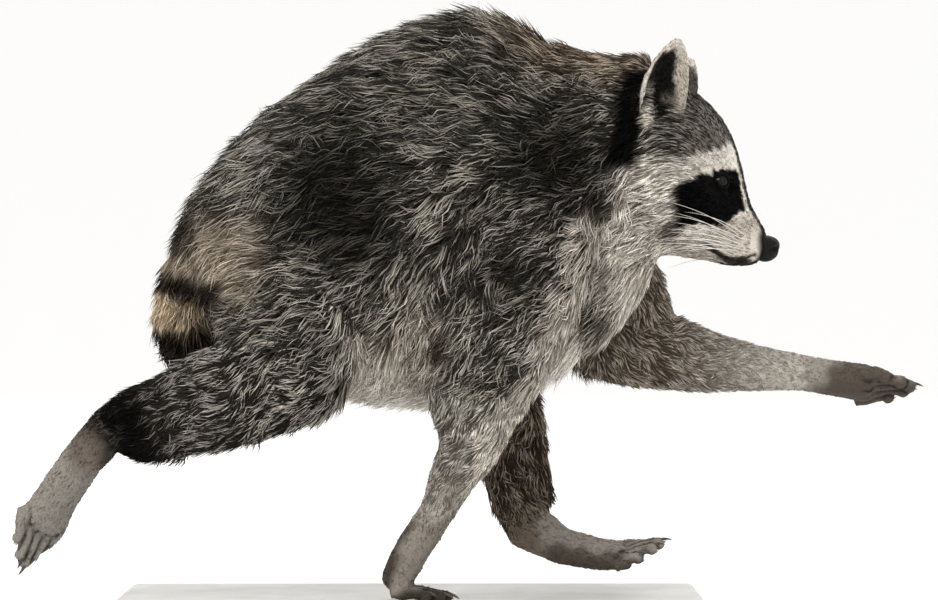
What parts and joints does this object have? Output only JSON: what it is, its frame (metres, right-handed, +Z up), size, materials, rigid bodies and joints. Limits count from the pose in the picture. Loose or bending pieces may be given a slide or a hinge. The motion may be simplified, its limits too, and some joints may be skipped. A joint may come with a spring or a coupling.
{
  "type": "life-size running raccoon figure",
  "caption": "Life-size raccoon in mid run on a flat base: one forefoot down, the other reaching ahead, a hind leg trailing, with ringed tail and masked face.",
  "frame": {"origin": "middle of the base's underside", "axes": "+X the way the animal runs, +Y to its left, +Z up"},
  "size_m": [0.6211, 0.22, 0.4174],
  "materials": {
    "coat": "dense grizzled fur, dark underneath with pale tips",
    "paw": "short pale grey fur over dark grainy skin, with dark claws",
    "nose": "moist pebbled black skin",
    "eye": "wet glossy dark brown",
    "stand": "satin pale grey paint on a plain board"
  },
  "bodies": {
    "root": {"trunk": "coat", "neck": "coat", "head": "coat", "jaw": "coat", "ear_right": "coat", "ear_left": "coat", "nose": "nose", "eye_right": "eye", "eye_left": "eye", "tail_root": "coat", "tail_middle": "coat", "tail_tip": "coat", "upper_arm_front_right": "coat", "forearm_front_right": "coat", "hand_front_right": "paw", "upper_arm_front_left": "coat", "forearm_front_left": "coat", "hand_front_left": "paw", "thigh_hind_right": "coat", "shank_hind_right": "coat", "foot_hind_right": "paw", "thigh_hind_left": "coat", "shank_hind_left": "coat", "foot_hind_left": "paw", "stand_base": "stand"}
  },
  "joints": []
}
